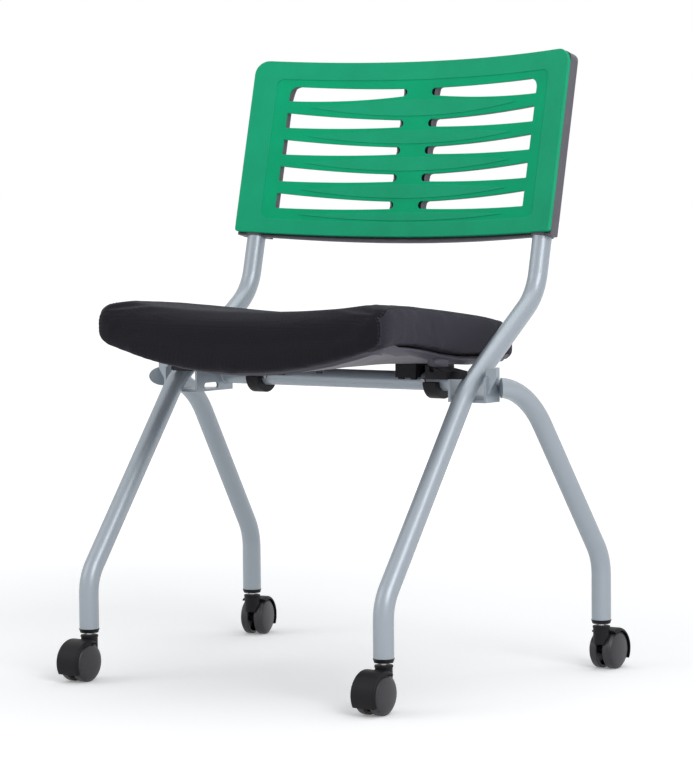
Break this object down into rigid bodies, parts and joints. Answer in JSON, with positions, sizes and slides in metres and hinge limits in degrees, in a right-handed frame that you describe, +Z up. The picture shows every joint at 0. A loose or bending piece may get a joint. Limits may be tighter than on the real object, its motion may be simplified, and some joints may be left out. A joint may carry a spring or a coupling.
{
  "type": "office chair",
  "caption": "Nesting office chair with a flip-up padded seat, a slotted curved plastic backrest and a bent tube frame on twin-wheel swivel casters.",
  "frame": {"origin": "on the floor, below the middle of the wheelbase and midway between the side tubes", "axes": "+Z up, -Y towards the front of the seat, +X to the right when the chair is seen from the front"},
  "size_m": [0.6183, 0.5081, 0.8073],
  "materials": {
    "silver_paint": "satin silver powder coat",
    "bright_steel": "plated",
    "green_plastic": "fine moulded grain",
    "grey_plastic": "fine moulded grain",
    "black_plastic": "satin",
    "wheel_plastic": "smooth, lightly worn tread",
    "black_rubber": "matt",
    "seat_fabric": "close stretch knit",
    "plywood": "unfinished"
  },
  "bodies": {
    "frame": {"side_tube_left": "silver_paint", "side_tube_right": "silver_paint", "rear_leg_left": "silver_paint", "rear_leg_right": "silver_paint", "gusset_left": "silver_paint", "gusset_right": "silver_paint", "cross_tube": "silver_paint", "hinge_stops": "bright_steel", "back_panel": "green_plastic", "back_shell": "grey_plastic", "back_screws": "black_plastic", "ferrule_front_left": "black_plastic", "stem_front_left": "bright_steel", "ferrule_front_right": "black_plastic", "stem_front_right": "bright_steel", "ferrule_rear_left": "black_plastic", "stem_rear_left": "bright_steel", "ferrule_rear_right": "black_plastic", "stem_rear_right": "bright_steel"},
    "seat": {"cushion": "seat_fabric", "seat_board": "plywood", "seat_pan": "grey_plastic", "pan_screws": "bright_steel", "hinge_block_left": "black_plastic", "hinge_block_right": "black_plastic", "hinge_screws": "bright_steel", "rest_pad_left": "black_plastic", "rest_pad_right": "black_plastic", "rear_bumpers": "black_rubber"},
    "caster_front_left": {"hood_front_left": "black_plastic", "axle_front_left": "bright_steel"},
    "wheel_front_left_in": {"wheel_front_left_in": "wheel_plastic"},
    "wheel_front_left_out": {"wheel_front_left_out": "wheel_plastic"},
    "caster_front_right": {"hood_front_right": "black_plastic", "axle_front_right": "bright_steel"},
    "wheel_front_right_in": {"wheel_front_right_in": "wheel_plastic"},
    "wheel_front_right_out": {"wheel_front_right_out": "wheel_plastic"},
    "caster_rear_left": {"hood_rear_left": "black_plastic", "axle_rear_left": "bright_steel"},
    "wheel_rear_left_in": {"wheel_rear_left_in": "wheel_plastic"},
    "wheel_rear_left_out": {"wheel_rear_left_out": "wheel_plastic"},
    "caster_rear_right": {"hood_rear_right": "black_plastic", "axle_rear_right": "bright_steel"},
    "wheel_rear_right_in": {"wheel_rear_right_in": "wheel_plastic"},
    "wheel_rear_right_out": {"wheel_rear_right_out": "wheel_plastic"}
  },
  "joints": [
    {"name": "seat_flip", "type": "hinge", "parent": "frame", "child": "seat", "pos_m": [0, 0.0465, 0.3815], "axis": [-1, 0, 0], "range_deg": [0, 75]},
    {"name": "swivel_front_left", "type": "hinge", "parent": "frame", "child": "caster_front_left", "pos_m": [-0.231, -0.209, 0.045], "axis": [0, 0, 1], "continuous": true},
    {"name": "roll_front_left_in", "type": "hinge", "parent": "caster_front_left", "child": "wheel_front_left_in", "pos_m": [-0.231, -0.227, 0.025], "axis": [1, 0, 0], "continuous": true},
    {"name": "roll_front_left_out", "type": "hinge", "parent": "caster_front_left", "child": "wheel_front_left_out", "pos_m": [-0.231, -0.227, 0.025], "axis": [1, 0, 0], "continuous": true},
    {"name": "swivel_front_right", "type": "hinge", "parent": "frame", "child": "caster_front_right", "pos_m": [0.231, -0.209, 0.045], "axis": [0, 0, 1], "continuous": true},
    {"name": "roll_front_right_in", "type": "hinge", "parent": "caster_front_right", "child": "wheel_front_right_in", "pos_m": [0.231, -0.227, 0.025], "axis": [1, 0, 0], "continuous": true},
    {"name": "roll_front_right_out", "type": "hinge", "parent": "caster_front_right", "child": "wheel_front_right_out", "pos_m": [0.231, -0.227, 0.025], "axis": [1, 0, 0], "continuous": true},
    {"name": "swivel_rear_left", "type": "hinge", "parent": "frame", "child": "caster_rear_left", "pos_m": [-0.286, 0.209, 0.045], "axis": [0, 0, 1], "continuous": true},
    {"name": "roll_rear_left_in", "type": "hinge", "parent": "caster_rear_left", "child": "wheel_rear_left_in", "pos_m": [-0.29005, 0.22654, 0.025], "axis": [0.9744, 0.225, 0], "continuous": true},
    {"name": "roll_rear_left_out", "type": "hinge", "parent": "caster_rear_left", "child": "wheel_rear_left_out", "pos_m": [-0.29005, 0.22654, 0.025], "axis": [0.9744, 0.225, 0], "continuous": true},
    {"name": "swivel_rear_right", "type": "hinge", "parent": "frame", "child": "caster_rear_right", "pos_m": [0.286, 0.209, 0.045], "axis": [0, 0, 1], "continuous": true},
    {"name": "roll_rear_right_in", "type": "hinge", "parent": "caster_rear_right", "child": "wheel_rear_right_in", "pos_m": [0.286, 0.227, 0.025], "axis": [1, 0, 0], "continuous": true},
    {"name": "roll_rear_right_out", "type": "hinge", "parent": "caster_rear_right", "child": "wheel_rear_right_out", "pos_m": [0.286, 0.227, 0.025], "axis": [1, 0, 0], "continuous": true}
  ]
}
